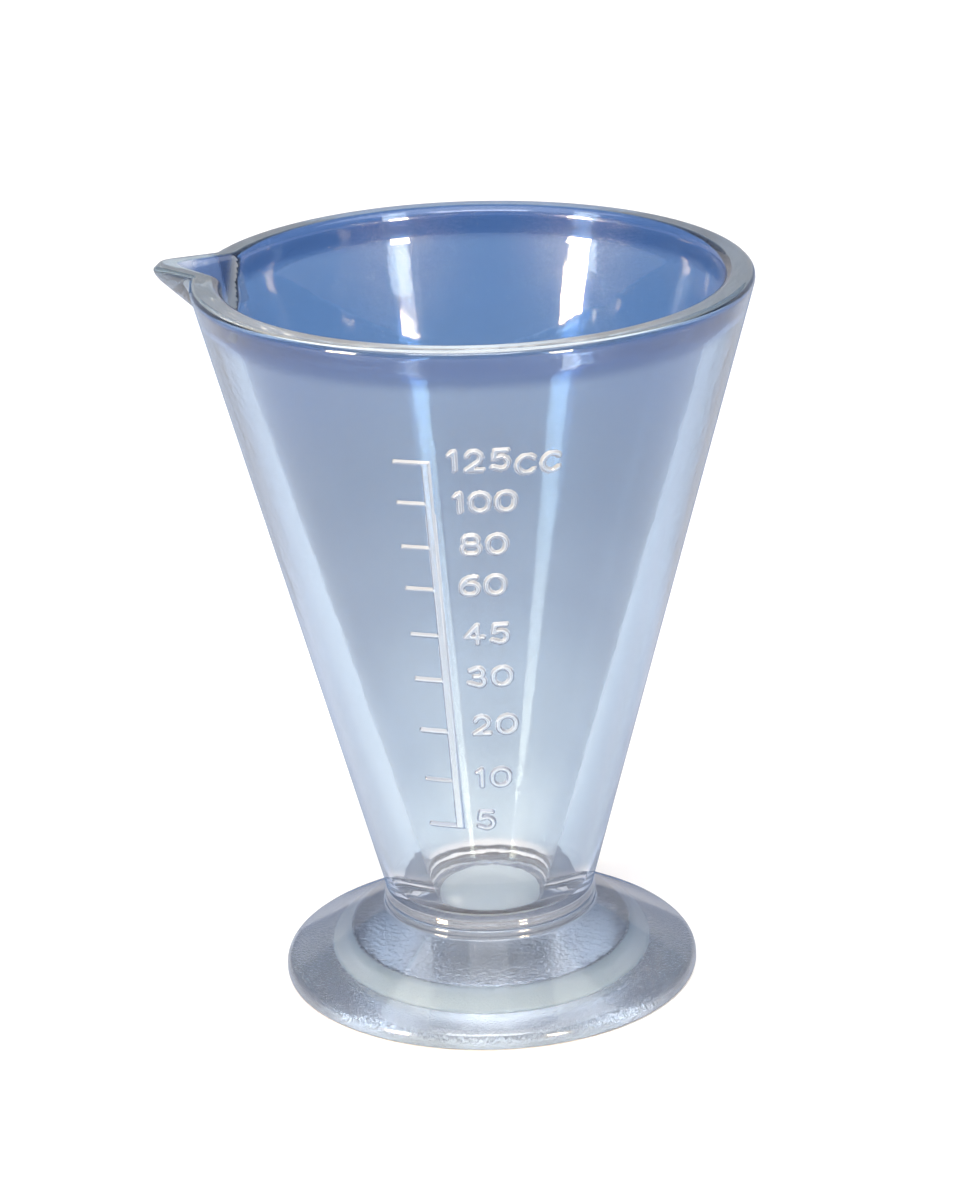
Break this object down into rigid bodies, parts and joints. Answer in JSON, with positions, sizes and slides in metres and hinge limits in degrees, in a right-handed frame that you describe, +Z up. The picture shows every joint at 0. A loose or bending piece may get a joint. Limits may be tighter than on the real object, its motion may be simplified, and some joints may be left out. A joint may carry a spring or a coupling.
{
  "type": "footed conical measure",
  "caption": "Clear glass conical measuring cup with pouring spout, thick rounded rim, flared hollow foot and a raised volume scale on the wall.",
  "frame": {"origin": "centre of the foot's resting plane, on the axis of the bowl", "axes": "+Z up along the axis of the bowl, spout towards -X, scale on the -Y side"},
  "size_m": [0.0899, 0.0835, 0.112],
  "materials": {
    "clear_glass": "clear glass with a faint blue cast, fire-polished, slightly orange-peeled surface",
    "raised_glass": "clear glass raised from the wall with rounded edges"
  },
  "bodies": {
    "root": {"bowl": "clear_glass", "foot": "clear_glass", "scale_spine": "raised_glass", "scale_ticks": "raised_glass", "numeral_125": "raised_glass", "numeral_100": "raised_glass", "numeral_80": "raised_glass", "numeral_60": "raised_glass", "numeral_45": "raised_glass", "numeral_30": "raised_glass", "numeral_20": "raised_glass", "numeral_10": "raised_glass", "numeral_5": "raised_glass", "unit_cc": "raised_glass"}
  },
  "joints": []
}
